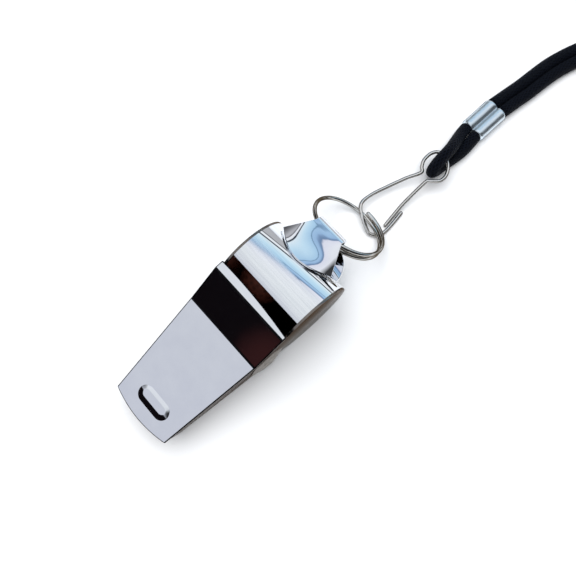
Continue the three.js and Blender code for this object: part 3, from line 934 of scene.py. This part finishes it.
def make_crimp(material):
    """Two soft lobes pressed round the two strands."""
    length = crimp_high[0] - crimp_low[0]
    middle_y = (crimp_high[1] + crimp_low[1]) / 2
    middle_z = (crimp_high[2] + crimp_low[2]) / 2
    outline = []
    for centre, start in ((LOBE_MIDDLE, -0.8), (-LOBE_MIDDLE, 0.2)):
        for i in range(LOBE_STEPS + 1):
            angle = math.pi * (start + LOBE_ARC * i / LOBE_STEPS)
            outline.append((centre + LOBE_RADIUS * math.cos(angle), LOBE_RADIUS * math.sin(angle)))
    around = len(outline)
    rings = 28
    verts = []
    for i in range(rings + 1):
        t = 0.5 - 0.5 * math.cos(math.pi * i / rings)
        from_rim = min(t, 1 - t) * length / MM
        tuck = RIM_TUCK * math.exp(-from_rim / RIM_LENGTH)
        swell = SHOULDER * math.exp(-((from_rim - SHOULDER_FROM_RIM) ** 2) / SHOULDER_SPREAD)
        wide = 1 - tuck + swell
        high = wide - WAIST * math.sin(math.pi * t)
        x = length * t + crimp_low[0]
        for y, z in outline:
            verts.append(Vector((x, middle_y + y * wide * MM, middle_z + z * high * MM)))
    faces = ring_faces(rings + 1, around)
    faces.append(tuple(reversed(range(around))))
    faces.append(tuple(range(len(verts) - around, len(verts))))
    crimp = piece("crimp_clip", verts, faces, material, "lanyard", "crimp_ferrule")


# ---------------------------------------------------------------- pea
PEA_PITS = (2100, 1900, 2300)  # radians for each metre, along x, y and z
PEA_PIT_DEPTH = 0.012  # share of the radius


def make_pea(material):
    low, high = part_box("pea")
    centre = (Vector(low) + Vector(high)) / 2
    radius = (high[0] - low[0]) / 2
    mesh = bpy.data.meshes.new("cork_pea")
    ball = bmesh.new()
    bmesh.ops.create_icosphere(ball, subdivisions=5, radius=radius)
    for vertex in ball.verts:
        ripple = 1
        for place, pits in zip(vertex.co, PEA_PITS):
            ripple *= math.sin(place * pits)
        vertex.co *= 1 - PEA_PIT_DEPTH * abs(ripple)
        vertex.co += centre
    for face in ball.faces:
        face.smooth = True
    ball.to_mesh(mesh)
    ball.free()
    holder = bpy.data.objects.new("cork_pea", mesh)
    bpy.context.collection.objects.link(holder)
    holder.data.materials.append(material)
    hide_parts("pea")
    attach(holder, "pea")


# ---------------------------------------------------------------- floor, light and sky
FLOOR_HALF = 2.0
SKY_SKEW = math.radians(55)  # how far the bands behind the ring lean, per unit of sideways direction
SKY_SKEW_MIDDLE = 0.19
SKY_MIDDLE = 0.17  # the sky is bright near this sideways direction and fades on both sides
SKY_FADE = (0.5, 0.68)  # how far from there the fading begins and ends
SKY_ASIDE = 0.05  # brightness that is left beyond it
GLOW_DIRECTION = (-0.872, 0.098, 0.479)  # seen in the hood's right end
GLOW_FROM = 0.997  # cosine of the angle at which the glow begins
GLOW_COLOUR = (0.034, 0.009, 0.008, 1)
SKY_BANDS = [  # degrees from straight up, positive behind the ring, and a colour
    (-90, (0.006, 0.004, 0.005)),
    (-53, (0.004, 0.003, 0.004)),
    (-50.5, (0.68, 0.70, 0.77)),
    (-30, (0.71, 0.73, 0.78)),
    (-8, (0.84, 0.87, 0.89)),
    (22, (0.90, 0.92, 0.95)),
    (37, (0.82, 0.83, 0.92)),
    (38.5, (0.16, 0.26, 0.42)),
    (40.5, (0.24, 0.36, 0.55)),
    (42, (0.36, 0.55, 0.78)),
    (46, (0.42, 0.62, 0.84)),
    (47, (0.12, 0.22, 0.36)),
    (48, (0.45, 0.68, 0.88)),
    (60, (0.62, 0.84, 0.97)),
    (70.5, (0.84, 0.95, 1.0)),
    (71.5, (0.02, 0.03, 0.05)),
    (74, (0.03, 0.04, 0.06)),
    (75, (0.95, 0.97, 1.0)),
    (80, (0.9, 0.92, 0.95)),
    (81, (0.02, 0.02, 0.025)),
    (84, (0.5, 0.5, 0.52)),
]


def make_floor():
    n = Surface("floor")
    n.colour(n.two_tone(n.noise(3, 2), (0.86, 0.86, 0.87), (0.9, 0.9, 0.9)))
    n.set("Roughness", 0.9)
    n.set("Specular IOR Level", 0.1)
    mesh = bpy.data.meshes.new("floor")
    half = FLOOR_HALF
    corners = [(-half, -half, 0), (half, -half, 0), (half, half, 0), (-half, half, 0)]
    mesh.from_pydata(corners, [], [(0, 1, 2, 3)])
    holder = bpy.data.objects.new("floor", mesh)
    bpy.context.collection.objects.link(holder)
    holder.data.materials.append(n.material)


def make_light():
    """One wide soft lamp above the table; it lights the matte things and is not seen in the mirrors."""
    lamp = bpy.data.lights.new("softbox", "AREA")
    lamp.shape = "SQUARE"
    lamp.size = 0.7
    lamp.energy = 5.4
    holder = bpy.data.objects.new("softbox", lamp)
    bpy.context.collection.objects.link(holder)
    holder.location = (0.05, 0.1, 0.7)
    holder.rotation_euler = (math.radians(-8), 0, 0)
    holder.visible_glossy = False


def make_sky():
    """A studio seen in the mirrors: bright overhead, blue behind the ring, dark before the tip."""
    world = bpy.data.worlds.new("studio")
    bpy.context.scene.world = world
    world.use_nodes = True
    sky = Graph(world.node_tree)
    background = sky.tree.nodes["Background"]
    background.inputs["Strength"].default_value = 1.0
    direction = sky.add("ShaderNodeTexCoord").outputs["Generated"]
    x, y, z = sky.split(direction)

    aside = sky.math("MULTIPLY", sky.math("SUBTRACT", y, SKY_SKEW_MIDDLE), SKY_SKEW)
    behind = sky.math("GREATER_THAN", x, 0)
    skew = sky.math("MULTIPLY", aside, behind)
    angle = sky.math("ADD", sky.math("ARCTAN2", x, z), skew)
    share = sky.ranged(angle, math.radians(-90), math.radians(90))
    bands = sky.ramp(share, [((degrees + 90) / 180, colour) for degrees, colour in SKY_BANDS])

    sideways = sky.math("ABSOLUTE", sky.math("SUBTRACT", y, SKY_MIDDLE))
    fade = sky.ranged(sideways, *SKY_FADE, 1.0, SKY_ASIDE)
    shaded = sky.mix(1, bands, blend_type="MULTIPLY")
    sky.link(fade, shaded.inputs["B"])

    towards = sky.add("ShaderNodeVectorMath", operation="DOT_PRODUCT")
    sky.link(direction, towards.inputs[0])
    towards.inputs[1].default_value = GLOW_DIRECTION
    near = towards.outputs["Value"]
    glow = sky.ranged(near, GLOW_FROM, 1, interpolation_type="SMOOTHSTEP")
    warm = sky.mix(glow, shaded.outputs["Result"], blend_type="ADD")
    warm.inputs["B"].default_value = GLOW_COLOUR
    sky.link(warm.outputs["Result"], background.inputs["Color"])


# ---------------------------------------------------------------- build
def make_wire(name, line, width, material, body, node):
    wire = tube(name, line, width / 2, 16, material, body, node)


make_camera()
make_lanyard(cord_weave())

mirror = polished_metal("mirror_steel", (0.80, 0.82, 0.86), (0.76, 0.78, 0.83))
strap_metal = polished_metal("strap_steel", (0.86, 0.88, 0.92), (0.80, 0.82, 0.87), (0.02, 0.05))
# painted shade: a near-black finish for the top sheet's rounded edges and bends, painted dark lines
edge_metal = polished_metal(
    "painted_dark_edge", (0.016, 0.016, 0.018), (0.006, 0.006, 0.007), (0.3, 0.5), DULL_EDGE
)
# painted shade: a dark copy of the polished steel for the walls, the lower plate and the tongue
painted_shade_metal = polished_metal(
    "painted_shade_steel", (0.24, 0.21, 0.19), (0.16, 0.135, 0.12), (0.1, 0.24), DULL_EDGE
)
cheek_steel = cheek_metal()
# painted reflection: the wires and the clip are painted bright along their middles and dark at their
# edges
ring_metal = wire_metal("spring_wire", (0.74, 0.73, 0.70), (0.10, 0.085, 0.065))
hook_metal = wire_metal("hook_steel", (0.76, 0.745, 0.72), (0.09, 0.072, 0.06))
crimp_metal = wire_metal("crimp_metal", (0.80, 0.90, 0.97), (0.16, 0.20, 0.26), (0.3, 0.4), 0.9)
solder = solder_metal()

make_top_sheet(mirror, edge_metal)
make_tooth_ridge(mirror)
for side in (1, -1):
    make_side_wall(painted_shade_metal, side)
    make_solder(solder, side)
make_strap(strap_metal)
rounded_cad("mouthpiece_base_plate", painted_shade_metal, 0.08 * MM)
rounded_cad("windway_tongue", painted_shade_metal, 0.05 * MM)
rounded_cad("barrel_band", barrel_metal(), 0.14 * MM)
rounded_cad("left_cheek", cheek_steel, 0.14 * MM)
rounded_cad("right_cheek", cheek_steel, 0.14 * MM)
rounded_cad("hank_tie", tie_plastic(), 0.12 * MM)

hook_line = smooth_line([at(*p) for p in HOOK_POINTS], 8)
latch_line = smooth_line([at(*p) for p in LATCH_POINTS], 8)
make_wire("ring_wire", ring_line(), RING_WIRE, ring_metal, "ring", "split_ring")
make_wire("hook_bent_wire", hook_line, HOOK_WIRE, hook_metal, "hook", "hook_wire")
make_wire("latch_wire", latch_line, HOOK_WIRE, hook_metal, "latch", "hook_latch")
make_crimp(crimp_metal)
make_pea(cork_wood())
make_floor()
make_light()
make_sky()
bpy.context.scene.view_settings.view_transform = "Standard"
